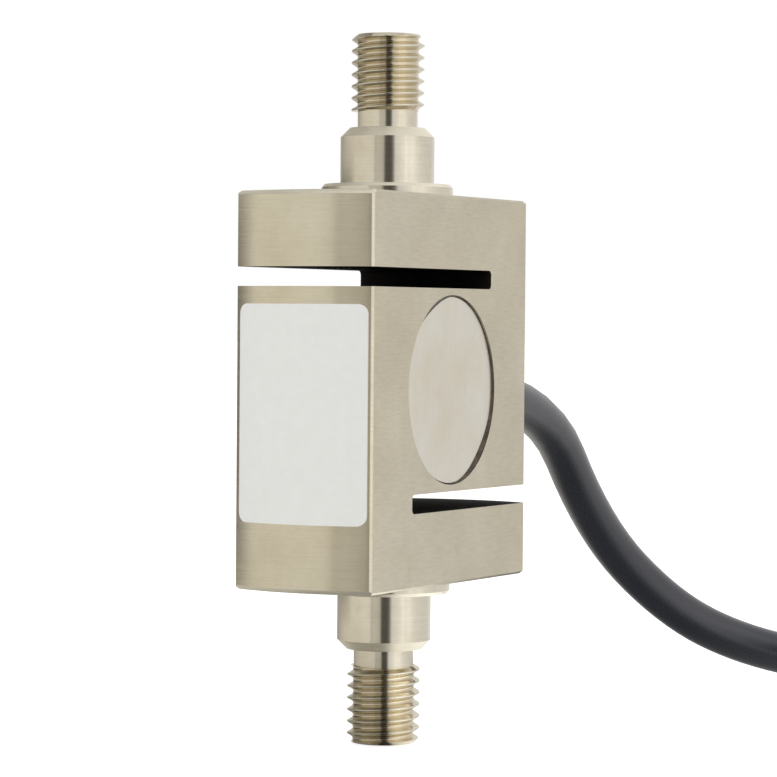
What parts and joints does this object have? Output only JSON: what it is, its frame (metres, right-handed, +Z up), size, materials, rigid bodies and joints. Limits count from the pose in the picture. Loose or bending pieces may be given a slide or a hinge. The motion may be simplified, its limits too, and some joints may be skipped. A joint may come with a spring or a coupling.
{
  "type": "s type load cell",
  "caption": "S-shaped tension and compression load cell with threaded studs, a slotted steel body, sealed gauge pockets and a coiled signal cable.",
  "frame": {"origin": "on the load axis at the tip of the lower stud", "axes": "+Z up along the load axis, -Y out of the front flat, +X towards the cable exit, label at -X"},
  "size_m": [0.1009, 0.1309, 0.0756],
  "materials": {
    "element_steel": "fine turned and ground nickel-plated steel",
    "cover_steel": "smooth rolled steel disc",
    "cover_adhesive": "cured brown adhesive",
    "label_film": "satin off-white printed film",
    "gauge_film": "amber polyimide",
    "gauge_metal": "constantan foil",
    "board_laminate": "green solder mask on glass fibre",
    "pad_metal": "tinned copper",
    "resistor_body": "small black chip resistor",
    "copper_wire": "enamelled copper",
    "core_red": "insulated wire",
    "core_black": "insulated wire",
    "core_green": "insulated wire",
    "core_white": "insulated wire",
    "core_shield": "sleeved drain wire",
    "gland_metal": "nickel-plated brass",
    "gland_washer_metal": "turned brass",
    "seal_rubber": "nitrile rubber",
    "boot_rubber": "moulded rubber",
    "cable_jacket": "smooth dark blue-grey sheath",
    "tie_nylon": "moulded nylon",
    "sleeve_shrink": "heat-shrink sleeve",
    "tinned_copper": "solder-tinned strands"
  },
  "bodies": {
    "root": {"spring_element": "element_steel", "front_cover": "cover_steel", "rear_cover": "cover_steel", "front_cover_glue": "cover_adhesive", "rear_cover_glue": "cover_adhesive", "label": "label_film", "front_gauge_backing": "gauge_film", "rear_gauge_backing": "gauge_film", "front_gauge_foil": "gauge_metal", "rear_gauge_foil": "gauge_metal", "bridge_board": "board_laminate", "bridge_board_pads": "pad_metal", "rear_terminal_strip": "board_laminate", "rear_terminal_pads": "pad_metal", "span_resistor_left": "resistor_body", "span_resistor_right": "resistor_body", "front_gauge_wires": "copper_wire", "rear_gauge_wires": "copper_wire", "bridge_link_wire": "copper_wire", "bridge_core_red": "core_red", "bridge_core_black": "core_black", "bridge_core_green": "core_green", "bridge_core_white": "core_white", "gland_screw": "gland_metal", "gland_washer": "gland_washer_metal", "gland_seal": "seal_rubber", "cable_boot": "boot_rubber", "cable_lead": "cable_jacket", "cable_coil": "cable_jacket", "cable_tail": "cable_jacket", "cable_ties": "tie_nylon", "end_sleeve": "sleeve_shrink", "pigtail_red": "core_red", "pigtail_black": "core_black", "pigtail_shield": "core_shield", "pigtail_green": "core_green", "pigtail_white": "core_white", "tinned_ends": "tinned_copper"}
  },
  "joints": []
}
